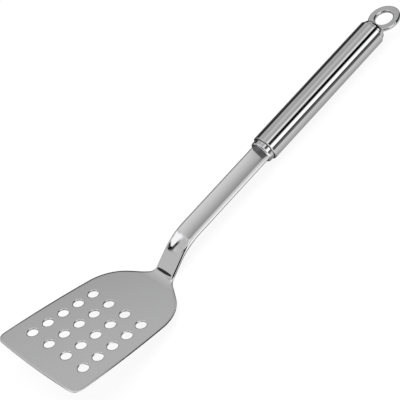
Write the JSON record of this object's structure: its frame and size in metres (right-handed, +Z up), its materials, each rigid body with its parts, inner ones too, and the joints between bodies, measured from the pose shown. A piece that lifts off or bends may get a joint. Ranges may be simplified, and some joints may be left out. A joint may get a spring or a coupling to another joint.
{
  "type": "perforated kitchen turner",
  "caption": "Stainless steel kitchen turner with a thin perforated blade, a dished shaft and a round tube handle that ends in a flat hanging ring.",
  "frame": {"origin": "under the middle of the part's length and width, on the table that its heel touches", "axes": "+Y along the level handle towards the hanging ring, +Z up and through the ring's hole, +X across the blade"},
  "size_m": [0.0776, 0.3302, 0.0309],
  "materials": {
    "blade_steel": "fine satin polish",
    "handle_steel": "mirror polish"
  },
  "bodies": {
    "root": {"blade": "blade_steel", "ferrule": "handle_steel", "handle_tube": "handle_steel", "end_cap": "handle_steel", "hanging_ring": "handle_steel"}
  },
  "joints": []
}
